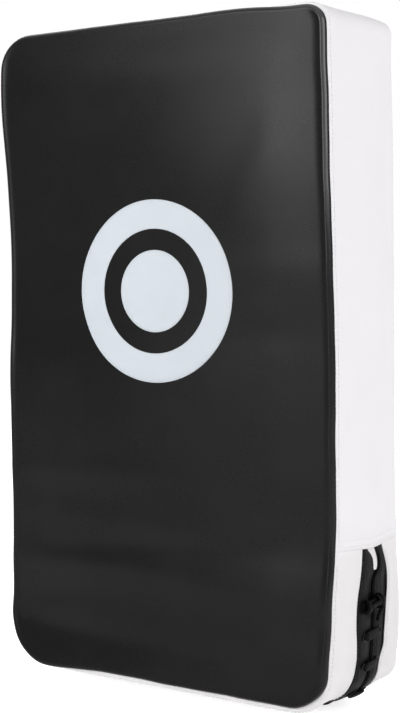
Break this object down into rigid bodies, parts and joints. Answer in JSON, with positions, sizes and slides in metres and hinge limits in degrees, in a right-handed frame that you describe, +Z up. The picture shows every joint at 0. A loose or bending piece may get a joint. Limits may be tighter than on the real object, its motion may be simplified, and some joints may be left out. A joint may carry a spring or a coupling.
{
  "type": "curved kick pad",
  "caption": "Tall curved foam strike pad with a ringed target, laced foam pocket, forearm straps and a rolled hand grip.",
  "frame": {"origin": "middle of the whole object's footprint, on the floor plane that the pad stands on", "axes": "+Z up along the pad's length towards the grip end, +X to the right as the strike face is seen, +Y from the strike face towards the straps"},
  "size_m": [0.3607, 0.2246, 0.6],
  "materials": {
    "strike_leather": "satin",
    "gusset_leather": "satin",
    "back_leather": "satin",
    "strap_leather": "satin",
    "print_film": "matte",
    "lace_cord": "matte",
    "sheet_foam": "matte",
    "core_foam": "matte",
    "grip_foam": "matte",
    "loop_tape": "matte",
    "hook_tape": "matte"
  },
  "bodies": {
    "root": {"front_cover": "strike_leather", "upper_gusset": "gusset_leather", "lower_gusset_front": "gusset_leather", "lower_gusset_rear": "gusset_leather", "back_cover": "back_leather", "lace_facing_front": "strike_leather", "lace_facing_rear": "strike_leather", "lace_tongue": "strike_leather", "lace": "lace_cord", "front_foam_sheet": "sheet_foam", "core_foam_block": "core_foam", "rear_foam_sheet": "sheet_foam", "target_ring": "print_film", "target_disc": "print_film", "strap_loop_patch_upper": "loop_tape", "strap_loop_patch_lower": "loop_tape", "strap_anchor_patch_upper": "back_leather", "strap_anchor_patch_lower": "back_leather", "grip_anchor_patch_left": "back_leather", "grip_anchor_patch_right": "back_leather"},
    "strap_upper": {"forearm_strap_upper": "strap_leather", "strap_hook_patch_upper": "hook_tape"},
    "strap_lower": {"forearm_strap_lower": "strap_leather", "strap_hook_patch_lower": "hook_tape"},
    "grip": {"grip_cover": "strap_leather", "grip_core": "grip_foam"}
  },
  "joints": [
    {"name": "forearm_strap_upper_open", "type": "hinge", "parent": "root", "child": "strap_upper", "pos_m": [-0.072, 0.04367, 0.345], "axis": [0, 0, 1], "range_deg": [0, 110]},
    {"name": "forearm_strap_lower_open", "type": "hinge", "parent": "root", "child": "strap_lower", "pos_m": [-0.072, 0.04367, 0.17], "axis": [0, 0, 1], "range_deg": [0, 110]},
    {"name": "grip_swing", "type": "hinge", "parent": "root", "child": "grip", "pos_m": [0, 0.04317, 0.49], "axis": [1, 0, 0], "range_deg": [-65, 65]}
  ]
}
